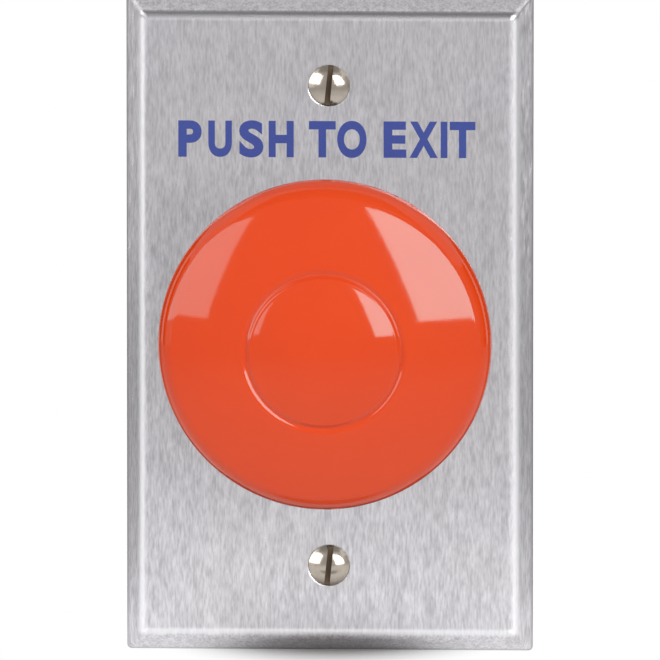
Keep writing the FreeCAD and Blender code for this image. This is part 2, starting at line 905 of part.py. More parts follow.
def make_terminal_clamps():
    clamp_back = pad_back + clamp_thickness
    hole = rod(terminal_screw_thread + 2 * guide_gap, pad_back - overrun, clamp_back + overrun)
    return at_places(centred(clamp_size, clamp_size, pad_back, clamp_back).cut(hole), terminal_places)


def make_terminal_screws():
    seat = pad_back + clamp_thickness
    head = (terminal_screw_head_width, terminal_screw_head_height)
    screw = pan_screw(head[0], head[1], terminal_screw_thread, seat, seat - terminal_screw_length)
    return at_places(screw, terminal_places)


parts = {
    "wall_plate": make_wall_plate(),
    "mounting_screws": make_mounting_screws(),
    "mushroom_cap": make_mushroom_cap(),
    "centre_cover": make_centre_cover(),
    "cap_screw": make_cap_screw(),
    "plunger": make_plunger(),
    "retaining_clip": make_retaining_clip(),
    "return_spring": make_return_spring(),
    "guide_bushing": make_guide_bushing(),
    "stem_seal": make_stem_seal(),
    "front_gasket": make_front_gasket(),
    "lock_washer": make_lock_washer(),
    "ring_nut": make_ring_nut(),
    "block_adapter": make_block_adapter(),
    "adapter_set_screw": make_adapter_set_screw(),
    "block_housing": make_block_housing(),
    "block_cover": make_block_cover(),
    "block_screws": make_block_screws(),
    "contact_carrier": make_contact_carrier(),
    "carrier_spring": make_carrier_spring(),
    "nc_bridge": make_bridge(-channel_offset, nc_bar_front, -1),
    "no_bridge": make_bridge(channel_offset, no_bar_front, 1),
    "nc_bridge_spring": make_bridge_spring(nc_bar_back, -channel_offset),
    "no_bridge_spring": make_bridge_spring(no_spring_front, channel_offset),
    "nc_terminal_upper": make_terminal(-channel_offset, nc_strip_front, 1, 1),
    "nc_terminal_lower": make_terminal(-channel_offset, nc_strip_front, 1, -1),
    "no_terminal_upper": make_terminal(channel_offset, pad_front, -1, 1),
    "no_terminal_lower": make_terminal(channel_offset, pad_front, -1, -1),
    "terminal_clamps": make_terminal_clamps(),
    "terminal_screws": make_terminal_screws(),
}

for name, shape in parts.items():
    shape.exportStep("parts/" + name + ".step")
    print(name, shape.isValid(), len(shape.Solids), round(shape.Volume, 2))
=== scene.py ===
import json
import math

import bmesh
import bpy
from mathutils import Matrix, Vector


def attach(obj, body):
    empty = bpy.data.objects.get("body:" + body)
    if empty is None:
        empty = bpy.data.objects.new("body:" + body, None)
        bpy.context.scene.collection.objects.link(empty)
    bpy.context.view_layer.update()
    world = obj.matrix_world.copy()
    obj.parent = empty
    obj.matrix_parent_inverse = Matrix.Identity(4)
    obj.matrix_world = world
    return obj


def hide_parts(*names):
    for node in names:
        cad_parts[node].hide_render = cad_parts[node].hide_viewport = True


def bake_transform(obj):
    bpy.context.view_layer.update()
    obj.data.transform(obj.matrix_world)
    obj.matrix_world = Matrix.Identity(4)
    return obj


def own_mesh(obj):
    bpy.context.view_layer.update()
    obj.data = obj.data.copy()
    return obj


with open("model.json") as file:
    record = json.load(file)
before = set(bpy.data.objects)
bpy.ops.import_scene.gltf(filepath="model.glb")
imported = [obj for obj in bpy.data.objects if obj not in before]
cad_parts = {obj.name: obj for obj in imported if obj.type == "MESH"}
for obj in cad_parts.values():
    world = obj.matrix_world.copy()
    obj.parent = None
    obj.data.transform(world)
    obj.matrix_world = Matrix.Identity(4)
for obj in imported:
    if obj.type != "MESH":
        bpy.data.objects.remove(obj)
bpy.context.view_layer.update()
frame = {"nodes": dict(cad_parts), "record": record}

# Door exit button as a still life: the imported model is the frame, and finer pieces stand in for
# the ones that the camera sees closely. Sizes below are millimetres, in the model's own frame.

MM = 0.001
BUTTON_AXIS = Vector((0, 1, 0))
WHITE = (1.0, 1.0, 1.0, 1.0)

# Wall plate
plate_width = 69.85
plate_height = 114.3
face = -5.0
screw_spacing = 83.34
side_fold = 2.7
lower_fold = 3.85
upper_fold = 3.3

# Brushed finish, and the painted highlight and shade along its folds: from where to where each mark
# changes, measured from the plate's edge or a fold
slope_at_sides = (2.2, 3.0)
slope_at_ends = (3.0, 3.8)
dull_edge = (0.1, 0.5)
fold_line = (0.15, 0.9)

# Mounting screws
screw_head_width = 7.1
screw_dome_height = 1.5
screw_thread = 3.505
screw_root = 2.6
screw_pitch = 0.79
screw_length = 25.4
screw_cone_angle = 82.0
screw_slot_width = 0.9
screw_slot_depth = 1.25
screw_slot_lean = 6.0
screw_slot_darkening = (0.06, -0.02)    # outside the slot's edge the head keeps its colour, inside the slot it is darker and brown
screw_rim = 0.12
screw_rim_front = 0.05
screw_rim_back = 0.08
screw_smooth_angle = 28.0
thread_lead_in = 0.3
thread_run_out = 1.0
thread_land = 0.02
thread_crest = 0.1
thread_sink = 0.05
thread_steps = 32

# Mushroom cap
cap_width = 57.0
cap_widest = -25.2
cap_rim_round = 4.8
cap_dome_radius = 62.0
cap_wall = 2.4
cap_skirt_depth = 7.0
cap_skirt_draft = 9.0
cap_edge = 0.5
cap_edge_tuck = 0.02
cap_boss = 9.0
cap_boss_back = -17.0
cap_socket = 5.05
cap_socket_depth = 4.05
cap_screw_hole = 2.15
cap_rib_count = 6
cap_rib_thickness = 1.4
cap_rib_height = 5.0
cap_rib_root = 2.0

# Centre cover
cover_width = 28.0
cover_dome_radius = 34.0
cover_edge_height = 2.5
cover_wall = 1.8
cover_sink = 0.35
cover_lip = 2.2
cover_foot_gap = 0.05
groove_middle = 13.3
groove_half = 0.85
groove_depth = 0.44
groove_seam = 0.02
groove_steps = 10

# Springs: width over the coils, wire, working turns, front end, back end, place across
return_spring = (16.2, 1.2, 4.0, -14.98, -1.06, 0.0)
carrier_spring = (5.6, 0.6, 5.0, 25.67, 39.62, 0.0)
closed_bridge_spring = (4.4, 0.5, 2.5, 27.77, 32.23, -8.5)
open_bridge_spring = (4.4, 0.5, 2.5, 19.82, 24.28, 8.5)
wire_sides = 10
coil_steps = 36

# Legend: its letters with the places of their left and right ends
legend_height = 6.3
legend_overshoot = 0.14
legend_middle = 32.4
legend_film = 0.03
legend_weight = 0.045
legend_letters = (
    ("P", -25.85, -21.85), ("U", -20.7, -16.65), ("S", -15.4, -11.25), ("H", -10.35, -6.05),
    ("T", -3.45, 1.15), ("O", 1.4, 6.45),
    ("E", 9.35, 13.25), ("X", 13.8, 18.65), ("I", 19.15, 20.3), ("T", 20.7, 25.1),
)

# Floor: an oval at the plate's foot with its own shade and a painted shadow, and the places where shade
# is painted into what mirrors show of it.
# The wings lie beside the plate, behind the line that its side slopes mirror.
floor_half = 400.0
floor_gap = 0.05
foot_middle = 23.0
foot_half = (34.5, 46.0)
foot_core = 0.45
far_floor = (60.0, 310.0)
front_shade_middle = -30.0
front_shade_half = (24.0, 9.0)
front_shade_core = 0.3
wing_start = 35.0
wing_slope = 0.488
wing_edge = (6.0, 16.0)
wing_end_slope = 1.2
wing_end = (-20.0, 20.0)
far_dimming = 0.4
front_dimming = 0.55
wing_dimming = 0.85
twice_mirrored_dimming = 0.85

# Studio: metres to the panels, degrees up to the side panels' lower and upper ends, share of light
softbox_distance = 8.0
side_distance = 20.0
front_distance = 40.0
side_low = -30
side_high = 24
room_light = 0.35

# Camera: degrees to the right and up, the photograph's scale and width, pixels that the aim is off
camera_azimuth = 2.0
camera_elevation = 9.0
pixels_per_mm = 5.827
picture = 660
aim_right = 1.0
aim_down = 4.0
lens = 1200.0
sensor = 36.0


# Making pieces


def arc(centre, radius, start, end, count):
    """Points of an arc about a centre, its two angles in degrees, both ends included."""
    points = []
    for i in range(count + 1):
        angle = math.radians(start + (end - start) * i / count)
        points.append((centre[0] + radius * math.cos(angle), centre[1] + radius * math.sin(angle)))
    return points


def rounded(start, corner, end, count=6):
    """Points of a soft turn round a corner, both ends included."""
    points = []
    for i in range(count + 1):
        t = i / count
        across = (1 - t) ** 2 * start[0] + 2 * t * (1 - t) * corner[0] + t * t * end[0]
        along = (1 - t) ** 2 * start[1] + 2 * t * (1 - t) * corner[1] + t * t * end[1]
        points.append((across, along))
    return points


def dome(radius, centre, start, end, count):
    """Points on a dome between two distances from the axis."""
    points = []
    for i in range(count + 1):
        r = start + (end - start) * i / count
        points.append((r, centre - math.sqrt(radius**2 - r**2)))
    return points


def outline_edges(bm, outline, closed=False):
    """Lays an outline of (distance from the axis, depth) points in the X-Y plane."""
    corners = [bm.verts.new((r * MM, y * MM, 0)) for r, y in outline]
    pairs = list(zip(corners, corners[1:]))
    if closed:
        pairs.append((corners[-1], corners[0]))
    return corners, [bm.edges.new(pair) for pair in pairs]


def turn(bm, outline, steps=256, closed=False):
    """Turns an outline full circle about the button's axis."""
    corners, edges = outline_edges(bm, outline, closed)
    bmesh.ops.spin(bm, geom=corners + edges, cent=(0, 0, 0), axis=BUTTON_AXIS,
                   angle=2 * math.pi, steps=steps, use_merge=True)


def finished(bm, name, smooth_angle=32.0):
    """Closes seams, sets the normals and makes the object."""
    bmesh.ops.remove_doubles(bm, verts=bm.verts, dist=1e-7)
    bmesh.ops.recalc_face_normals(bm, faces=bm.faces)
    mesh = bpy.data.meshes.new(name)
    bm.to_mesh(mesh)
    bm.free()
    mesh.shade_smooth()
    mesh.set_sharp_from_angle(angle=math.radians(smooth_angle))
    made = bpy.data.objects.new(name, mesh)
    bpy.context.scene.collection.objects.link(made)
    return made


def dressed(piece, slot_name):
    """Gives a piece the finish of its slot."""
    piece.data.materials.append(finishes[slot_name])
    return piece


# Finishes


class Channel:
    """A shader value that takes part in ordinary arithmetic."""

    def __init__(self, finish, socket):
        self.finish = finish
        self.socket = socket

    def __add__(self, other):
        return self.finish.maths("ADD", self, other)

    def __radd__(self, other):
        return self.finish.maths("ADD", other, self)

    def __sub__(self, other):
        return self.finish.maths("SUBTRACT", self, other)

    def __rsub__(self, other):
        return self.finish.maths("SUBTRACT", other, self)

    def __mul__(self, other):
        return self.finish.maths("MULTIPLY", self, other)

    def __rmul__(self, other):
        return self.finish.maths("MULTIPLY", other, self)


class Finish:
    """A material built node by node round its surface shader."""

    def __init__(self, name, data=None):
        self.data = data or bpy.data.materials.new(name)
        self.data.use_nodes = True
        self.tree = self.data.node_tree

    def node(self, kind, inputs=None, output=0, **settings):
        made = self.tree.nodes.new(kind)
        for key, value in settings.items():
            setattr(made, key, value)
        for key, value in (inputs or {}).items():
            self.feed(made.inputs[key], value)
        return Channel(self, made.outputs[output])

    def feed(self, socket, value):
        if isinstance(value, Channel):
            self.tree.links.new(value.socket, socket)
        else:
            socket.default_value = value

    def surface(self, **values):
        """Sets sockets of the surface shader; underlines in a name stand for spaces."""
        shader = self.tree.nodes["Principled BSDF"]
        for key, value in values.items():
            self.feed(shader.inputs[key.replace("_", " ")], value)

    def maths(self, operation, *values):
        """One step of arithmetic on one value or two."""
        return self.node("ShaderNodeMath", dict(enumerate(values)), operation=operation)

    def place(self, scale=(1, 1, 1)):
        """Coordinates on the piece in millimetres, scaled."""
        raw = self.node("ShaderNodeTexCoord", output="Object")
        factors = tuple(s / MM for s in scale)
        return self.node("ShaderNodeMapping", {"Vector": raw, "Scale": factors})

    def axes(self):
        """The place on the piece in millimetres: across, in depth and up."""
        split = self.node("ShaderNodeSeparateXYZ", {0: self.place()}).socket.node
        return [Channel(self, output) for output in split.outputs]

    def seen_by(self, *kinds):
        """1 for the named kinds of ray, 0 for the others."""
        rays = [self.node("ShaderNodeLightPath", output=kind) for kind in kinds]
        return self.maths("MINIMUM", sum(rays[1:], rays[0]), 1.0)

    def noise(self, scale, detail, roughness=0.55):
        """Noise from 0 to 1; a scale is the number of grains per millimetre along each axis."""
        return self.node("ShaderNodeTexNoise", {"Vector": self.place(scale), "Scale": 1.0,
                                                "Detail": detail, "Roughness": roughness})

    def spread(self, value, low, high, out_low, out_high, curve="LINEAR"):
        """A value's range laid over another range, held at its ends."""
        return self.node("ShaderNodeMapRange", {"Value": value, "From Min": low, "From Max": high,
                                                "To Min": out_low, "To Max": out_high},
                         interpolation_type=curve)

    def fold(self, place, at):
        """1 along a fold of the plate, 0 away from it."""
        away = self.maths("ABSOLUTE", place - at)
        return self.spread(away, *fold_line, 1.0, 0.0, "SMOOTHSTEP")

    def oval(self, across, along, middle, half):
        """Squared distance from an oval's middle: 0 there and 1 on its outline."""
        x = across * (1 / half[0])
        y = (along - middle) * (1 / half[1])
        return x * x + y * y

    def mix(self, factor, first, second):
        """Colours mixed by a factor."""
        return self.node("ShaderNodeMix", {0: factor, 6: first, 7: second}, output=2, data_type="RGBA")

    def bump(self, height, distance, strength, normal=None):
        """Small relief in the surface, on top of a normal where one is given."""
        inputs = {"Height": height, "Distance": distance * MM, "Strength": strength}
        if normal is not None:
            inputs["Normal"] = normal
        return self.node("ShaderNodeBump", inputs)


def colour(red, green, blue):
    """A written 0 to 255 colour as the linear value that renders to it."""
    channels = []
    for value in (red, green, blue):
        share = value / 255
        channels.append(share / 12.92 if share <= 0.04045 else ((share + 0.055) / 1.055) ** 2.4)
    return (*channels, 1.0)


def brushed_steel():
    """Steel brushed up and down with dull edges: a painted highlight along the folds at the sides and
    below, painted shade along the one above.
    """
    finish = Finish("brushed_steel")
    strokes = finish.noise((2.6, 2.6, 0.5), detail=2.0, roughness=0.5)
    mottle = finish.noise((0.9, 0.9, 0.25), detail=2.0)
    hairs = finish.noise((22.0, 22.0, 0.2), detail=1.0)
    cloud = finish.noise((0.04, 0.04, 0.04), detail=1.0)
    grain = strokes * 0.5 + mottle * 0.35 + hairs * 0.15
    tone = finish.spread(grain, 0.38, 0.62, 0.0, 1.0)
    base = finish.mix(tone, colour(186, 184, 189), colour(234, 232, 237))
    base = finish.mix(cloud * 0.25, base, colour(210, 204, 200))
    across, _, height = finish.axes()
    from_side = plate_width / 2 - finish.maths("ABSOLUTE", across)
    from_foot = height + plate_height / 2
    from_top = plate_height / 2 - height
    from_end = finish.maths("MINIMUM", from_foot, from_top)
    between_sides = finish.spread(from_side, *slope_at_sides, 0.0, 1.0)
    between_ends = finish.spread(from_end, *slope_at_ends, 0.0, 1.0)
    # Painted highlight along the folds at the sides and below
    painted_side_fold_highlight = finish.fold(from_side, side_fold) * between_ends
    painted_lower_fold_highlight = finish.fold(from_foot, lower_fold) * between_sides
    # Painted shade along the fold above
    painted_top_fold_shade = finish.fold(from_top, upper_fold) * between_sides
    painted_fold_highlight = finish.maths("MAXIMUM", painted_side_fold_highlight, painted_lower_fold_highlight)
    dull = finish.spread(finish.maths("MINIMUM", from_side, from_end), *dull_edge, 1.0, 0.0)
    # The painted fold highlight lightens the colour here and makes the folds a little rougher below
    base = finish.mix(painted_fold_highlight * 0.6, base, colour(250, 249, 252))
    # Painted shade: the fold above is darkened in the colour
    base = finish.mix(painted_top_fold_shade * 0.85, base, colour(140, 138, 140))
    finish.surface(
        Base_Color=finish.mix(dull, base, colour(184, 182, 185)),
        Metallic=1.0,
        Roughness=finish.spread(grain, 0.34, 0.66, 0.36, 0.26) + painted_fold_highlight * 0.08,
        Anisotropic=0.5,
        Normal=finish.bump(grain, 0.004, 0.5, finish.node("ShaderNodeBevel", {"Radius": 0.35 * MM})),
    )
    return finish.data


def polished_steel():
    """The bright heads of the mounting screws, dull and brown down in the slot."""
    finish = Finish("polished_steel")
    cloud = finish.noise((0.8, 0.8, 0.8), detail=3.0)
    marks = finish.noise((0.7, 9.0, 9.0), detail=4.0)
    across, _, height = finish.axes()
    from_screw = height - finish.maths("SIGN", height) * (screw_spacing / 2)
    lean = math.radians(screw_slot_lean)
    from_slot = finish.maths("ABSOLUTE", across * math.cos(lean) - from_screw * math.sin(lean))
    # Inside the slot the head is darker, browner and rougher
    darkening_start, darkening_full = [screw_slot_width / 2 + past for past in screw_slot_darkening]
    slot_darkening = finish.spread(from_slot, darkening_start, darkening_full, 0.0, 1.0)
    base = finish.mix(cloud, colour(168, 158, 146), colour(196, 186, 174))
    finish.surface(
        Base_Color=finish.mix(slot_darkening, base, colour(104, 88, 74)),
        Metallic=1.0,
        Roughness=finish.spread(marks, 0.3, 0.7, 0.12, 0.22) + slot_darkening * 0.35,
        Normal=finish.bump(marks, 0.004, 0.5),
    )
    return finish.data


def glossy_red():
    """The moulded orange-red of the cap and its cover."""
    finish = Finish("glossy_red")
    cloud = finish.noise((0.08, 0.08, 0.08), detail=2.0)
    ripple = finish.noise((1.1, 1.1, 1.1), detail=1.0)
    finish.surface(
        Base_Color=finish.mix(cloud, colour(202, 56, 4), colour(207, 63, 9)),
        Roughness=finish.spread(ripple, 0.3, 0.7, 0.05, 0.08),
        IOR=1.47,
        Specular_Tint=(0.35, 1.0, 1.0, 1.0),
        Normal=finish.bump(ripple, 0.002, 0.5),
    )
    return finish.data


def moulded(name, dark, light, roughness, grain=3.0, height=0.01):
    """Moulded plastic or rubber with a fine even texture."""
    finish = Finish(name)
    cloud = finish.noise((0.15, 0.15, 0.15), detail=3.0)
    texture = finish.noise((grain, grain, grain), detail=2.0)
    finish.surface(
        Base_Color=finish.mix(cloud, colour(*dark), colour(*light)),
        Roughness=finish.spread(texture, 0.3, 0.7, roughness - 0.06, roughness + 0.06),
        Normal=finish.bump(texture, height, 0.6),
    )
    return finish.data


def plated(name, dark, light, roughness):
    """Plated or bare metal with faint turning marks and uneven shine."""
    finish = Finish(name)
    cloud = finish.noise((0.25, 0.25, 0.25), detail=4.0)
    marks = finish.noise((0.6, 6.0, 6.0), detail=3.0)
    finish.surface(
        Base_Color=finish.mix(cloud, colour(*dark), colour(*light)),
        Metallic=1.0,
        Roughness=finish.spread(marks * 0.5 + cloud * 0.5, 0.3, 0.7, roughness - 0.06, roughness + 0.08),
        Normal=finish.bump(marks, 0.004, 0.5),
    )
    return finish.data


def blue_ink():
    """The printed legend, a little uneven in its cover."""
    finish = Finish("blue_ink")
    cover = finish.noise((3.0, 3.0, 3.0), detail=3.0)
    finish.surface(
        Base_Color=finish.mix(cover, colour(34, 50, 120), colour(54, 72, 144)),
        Roughness=finish.spread(cover, 0.3, 0.7, 0.38, 0.52),
        Normal=finish.bump(cover, 0.003, 0.4),
    )
    return finish.data


finishes = {
    "plate_steel": brushed_steel(),
    "screw_steel": polished_steel(),
    "button_red": glossy_red(),
    "black_plastic": moulded("black_plastic", (30, 31, 33), (40, 41, 43), 0.45),
    "grey_plastic": moulded("grey_plastic", (122, 126, 130), (138, 142, 146), 0.5),
    "white_plastic": moulded("white_plastic", (214, 212, 204), (228, 226, 220), 0.42),
    "bushing_metal": plated("bushing_metal", (150, 150, 154), (174, 174, 178), 0.32),
    "plated_steel": plated("plated_steel", (176, 174, 164), (196, 194, 186), 0.3),
    "spring_steel": plated("spring_steel", (120, 118, 116), (150, 148, 146), 0.28),
    "black_rubber": moulded("black_rubber", (24, 24, 25), (34, 34, 35), 0.7, grain=1.5, height=0.02),
    "contact_brass": plated("contact_brass", (182, 146, 78), (204, 168, 98), 0.28),
}

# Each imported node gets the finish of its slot
for part in frame["record"]["subparts"]:
    node = frame["nodes"][part["node"]]
    node.data.materials.clear()
    node.data.materials.append(finishes[part["material_slot"]])


# Mushroom cap and centre cover

rim_centre = (cap_width / 2 - cap_rim_round, cap_widest)
dome_reach = cap_dome_radius - cap_rim_round
dome_centre = cap_widest + math.sqrt(dome_reach**2 - rim_centre[0] ** 2)
dome_join = math.degrees(math.atan2(cap_widest - dome_centre, rim_centre[0]))


def dome_at(radius, inset=0.0):
    """How far out the cap's dome, or its inside, is at a distance from the axis."""
    return dome_centre - math.sqrt((cap_dome_radius - inset) ** 2 - radius**2)


def join_at(inset=0.0):
    """Distance from the axis at which the dome, or its inside, runs into the rim's round."""
    return (cap_dome_radius - inset) * math.cos(math.radians(dome_join))


cover_edge_front = dome_at(cover_width / 2) + cover_sink
recess_floor = cover_edge_front + cover_edge_height
cover_centre = cover_edge_front + math.sqrt(cover_dome_radius**2 - (cover_width / 2) ** 2)


def cover_at(radius):
    """How far out the cover's dome is at a distance from the axis."""
    return cover_centre - math.sqrt(cover_dome_radius**2 - radius**2)


def groove_side(start, surface):
    """One side of the soft groove round the cover, from its bottom out to a dome's surface."""
    bottom = dome_at(groove_middle) + groove_depth
    points = []
    for i in range(groove_steps + 1):
        t = i / groove_steps
        ease = t * t * (3 - 2 * t)
        r = groove_middle + (start - groove_middle) * t
        points.append((r, bottom + (surface(start) - bottom) * ease))
    return points


def mushroom_cap():
    """Domed cap with its rounded rim, recess, inner boss and ribs."""
    draft = math.tan(math.radians(cap_skirt_draft))
    back = cap_widest + cap_skirt_depth
    skirt = cap_width / 2 - cap_skirt_depth * draft
    inner_back = skirt - cap_wall
    tub = groove_middle + cap_wall
    tub_back = recess_floor + cap_wall
    mouth = groove_middle + groove_half
    outline = rounded((skirt, back - cap_edge), (skirt - cap_edge_tuck, back), (skirt - cap_edge, back))
    outline += rounded((inner_back + cap_edge, back), (inner_back, back), (inner_back, back - cap_edge))
    outline.append((cap_width / 2 - cap_wall, cap_widest))
    outline += arc(rim_centre, cap_rim_round - cap_wall, 0, dome_join, 12)[1:]
    outline += dome(cap_dome_radius - cap_wall, dome_centre, join_at(cap_wall), tub, 10)[1:]
    outline += [(tub, tub_back), (cap_boss, tub_back), (cap_boss, cap_boss_back)]
    outline += [(cap_socket, cap_boss_back), (cap_socket, cap_boss_back - cap_socket_depth)]
    outline += [(cap_screw_hole, cap_boss_back - cap_socket_depth), (cap_screw_hole, recess_floor)]
    outline.append((groove_middle, recess_floor))
    outline += groove_side(mouth, dome_at)
    outline += dome(cap_dome_radius, dome_centre, mouth, join_at(), 24)[1:]
    outline += arc(rim_centre, cap_rim_round, dome_join, 0, 24)[1:]
    bm = bmesh.new()
    turn(bm, outline, closed=True)
    add_ribs(bm, tub, tub_back)
    return finished(bm, "cap_shell")


def add_ribs(bm, tub, tub_back):
    """Ribs inside the cap from its boss to its skirt, sunk a little into the walls."""
    sink = cap_wall / 2
    outer = cap_width / 2
    root = cap_boss - cap_rib_root
    rib_back = dome_at(tub, cap_wall) + cap_rib_height
    rib_outline = [(root, tub_back - sink), (tub - sink, tub_back - sink), (tub, dome_at(tub, sink))]
    rib_outline += [(outer - sink, cap_widest), (outer - cap_wall, rib_back), (root, rib_back)]
    for i in range(cap_rib_count):
        corners = outline_edges(bm, rib_outline, closed=True)[0]
        side = bm.faces.new(corners)
        drawn = bmesh.ops.extrude_face_region(bm, geom=[side])["geom"]
        far = [part for part in drawn if isinstance(part, bmesh.types.BMVert)]
        bmesh.ops.translate(bm, verts=far, vec=(0, 0, cap_rib_thickness * MM))
        rib = corners + far
        bmesh.ops.translate(bm, verts=rib, vec=(0, 0, -cap_rib_thickness / 2 * MM))
        bmesh.ops.rotate(bm, verts=rib, cent=(0, 0, 0),
                         matrix=Matrix.Rotation(2 * math.pi * i / cap_rib_count, 3, BUTTON_AXIS))


def centre_cover():
    """Round insert, more curved than the cap, that dips into the soft groove round it."""
    shoulder = groove_middle - groove_half
    edge = groove_middle - groove_seam
    lip = edge - cover_lip
    foot = recess_floor - cover_foot_gap
    outline = [(r, y + cover_wall) for r, y in dome(cover_dome_radius, cover_centre, 0, lip, 20)]
    outline += [(lip, foot), (edge, foot)]
    outline += [(r - groove_seam, y) for r, y in groove_side(shoulder, cover_at)]
    outline += dome(cover_dome_radius, cover_centre, shoulder, 0, 40)[1:]
    bm = bmesh.new()
    turn(bm, outline)
    return finished(bm, "cover_shell")


cap = dressed(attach(mushroom_cap(), "button"), "button_red")
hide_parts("mushroom_cap")
cover = dressed(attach(centre_cover(), "button"), "button_red")
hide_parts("centre_cover")
# The button casts its shadow on the brushed plate, but no mirror image of it shows there
cap.visible_glossy = False
cover.visible_glossy = False


# Mounting screws

screw_head = screw_head_width / 2
screw_shank = screw_root / 2
screw_top = face - screw_dome_height
screw_tip = face + screw_length
screw_cone = (screw_head - screw_shank) / math.tan(math.radians(screw_cone_angle / 2))


def screw_blank(name):
    """Oval head on a plain shank."""
    sphere = (screw_head**2 + screw_dome_height**2) / (2 * screw_dome_height)
    outline = dome(sphere, screw_top + sphere, 0, screw_head - screw_rim, 24)
    rim = [(screw_head, face - screw_rim_front), (screw_head, face + screw_rim_back)]
    outline += rounded(outline[-1], *rim, 4)[1:]
    outline += [(screw_shank, face + screw_cone), (screw_shank, screw_tip - screw_shank)]
    outline += [(screw_shank / 2, screw_tip), (0, screw_tip)]
    bm = bmesh.new()
    turn(bm, outline, steps=96)
    return finished(bm, name, screw_smooth_angle)


def slot_cutter(name):
    """Block the size of the slot, that starts a little in front of the head."""
    ahead = 1.0
    depth = screw_slot_depth + ahead
    size = Matrix.Diagonal((screw_slot_width * MM, depth * MM, 2 * screw_head_width * MM, 1))
    shift = Matrix.Translation((0, (screw_top - ahead + depth / 2) * MM, 0))
    lean = Matrix.Rotation(math.radians(screw_slot_lean), 4, "Y")
    bm = bmesh.new()
    bmesh.ops.create_cube(bm, size=1.0)
    bmesh.ops.transform(bm, verts=bm.verts, matrix=lean @ shift @ size)
    return finished(bm, name)


def cut_away(piece, cutter):
    """The mesh of a piece with the cutter's shape taken out; both objects are used up."""
    cut = piece.modifiers.new("slot", "BOOLEAN")
    cut.operation = "DIFFERENCE"
    cut.solver = "EXACT"
    cut.object = cutter
    bpy.context.view_layer.update()
    mesh = bpy.data.meshes.new_from_object(piece.evaluated_get(bpy.context.evaluated_depsgraph_get()))
    bpy.data.objects.remove(piece)
    bpy.data.objects.remove(cutter)
    return mesh


def wind_thread(bm):
    """Winds a ridge round the shank, sunk a little into it."""
    start = face + screw_cone + thread_lead_in
    turns = int((screw_tip - screw_shank - thread_run_out - start) / screw_pitch)
    flank = screw_pitch / 2 - thread_land
    root = screw_shank - thread_sink
    crest = screw_thread / 2
    outline = [(root, start), (crest, start + flank * (1 - thread_crest))]
    outline += [(crest, start + flank * (1 + thread_crest)), (root, start + 2 * flank)]
    ridge = bm.faces.new(outline_edges(bm, outline, closed=True)[0])
    section = [ridge] + list(ridge.verts) + list(ridge.edges)
    bmesh.ops.spin(bm, geom=section, cent=(0, 0, 0), axis=BUTTON_AXIS,
                   dvec=(0, screw_pitch / thread_steps * MM, 0), angle=2 * math.pi * turns,
                   steps=thread_steps * turns)


def mounting_screw(name, height):
    """Slotted oval-head screw with a cut thread."""
    bm = bmesh.new()
    bm.from_mesh(cut_away(screw_blank(name), slot_cutter(name + "_slot")))
    wind_thread(bm)
    bmesh.ops.translate(bm, verts=bm.verts, vec=(0, 0, height * MM))
    return finished(bm, name, screw_smooth_angle)


for name, height in (("screw_upper", screw_spacing / 2), ("screw_lower", -screw_spacing / 2)):
    screw = dressed(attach(mounting_screw(name, height), "panel"), "screw_steel")
    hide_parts("mounting_screws")


# Springs


def coil(name, width, wire, turns, front, back, x):
    """Round-wire compression spring with a closed coil at each end."""
    radius = (width - wire) / 2
    lead = back - front - 3 * wire
    runs = ((1.0, wire), (turns, lead), (1.0, wire))
    bm = bmesh.new()
    place = Matrix.Translation((radius * MM, (front + wire / 2) * MM, 0))
    made = bmesh.ops.create_circle(bm, cap_ends=True, radius=wire / 2 * MM, segments=wire_sides,
                                   matrix=place)
    section = list(made["verts"])
    section += list({edge for vert in section for edge in vert.link_edges})
    section += list({part for vert in made["verts"] for part in vert.link_faces})
    for run_turns, rise in runs:
        steps = round(coil_steps * run_turns)
        made = bmesh.ops.spin(bm, geom=section, cent=(0, 0, 0), axis=BUTTON_AXIS,
                              dvec=(0, rise / steps * MM, 0), angle=2 * math.pi * run_turns, steps=steps)
        section = made["geom_last"]
    bmesh.ops.translate(bm, verts=bm.verts, vec=(x * MM, 0, 0))
    return dressed(finished(bm, name, smooth_angle=40.0), "spring_steel")


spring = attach(coil("button_coil", *return_spring), "panel")
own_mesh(spring)
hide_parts("return_spring")
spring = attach(coil("carrier_coil", *carrier_spring), "panel")
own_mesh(spring)
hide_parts("carrier_spring")
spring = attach(coil("open_bridge_coil", *open_bridge_spring), "carrier")
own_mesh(spring)
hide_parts("no_bridge_spring")
spring = coil("closed_bridge_coil", *closed_bridge_spring)
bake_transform(spring)
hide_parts("nc_bridge_spring")


# Legend


def letter(character, left, right):
    """One printed letter between two places across the plate."""
    words = bpy.data.curves.new("letter", "FONT")
    words.body = character
    words.offset = legend_weight
    words.resolution_u = 8
    words.extrude = legend_film
    holder = bpy.data.objects.new("letter_outline", words)
    bpy.context.scene.collection.objects.link(holder)
    bpy.context.view_layer.update()
    mesh = bpy.data.meshes.new_from_object(holder.evaluated_get(bpy.context.evaluated_depsgraph_get()))
    bpy.data.objects.remove(holder)
    bm = bmesh.new()
    bm.from_mesh(mesh)
    low = [min(vert.co[i] for vert in bm.verts) for i in range(3)]
    high = [max(vert.co[i] for vert in bm.verts) for i in range(3)]
    middle = [(a + b) / 2 for a, b in zip(low, high)]
    tall = legend_height + legend_overshoot * (character in "OS")
    size = (right - left, tall, 2 * legend_film)
    scale = [MM * s / (b - a) for s, a, b in zip(size, low, high)]
    matrix = (Matrix.Translation(((left + right) / 2 * MM, face * MM, legend_middle * MM))
              @ Matrix.Rotation(math.pi / 2, 4, "X") @ Matrix.Diagonal((*scale, 1))
              @ Matrix.Translation([-m for m in middle]))
    bmesh.ops.transform(bm, verts=bm.verts, matrix=matrix)
    bm.to_mesh(mesh)
    bm.free()
    return mesh


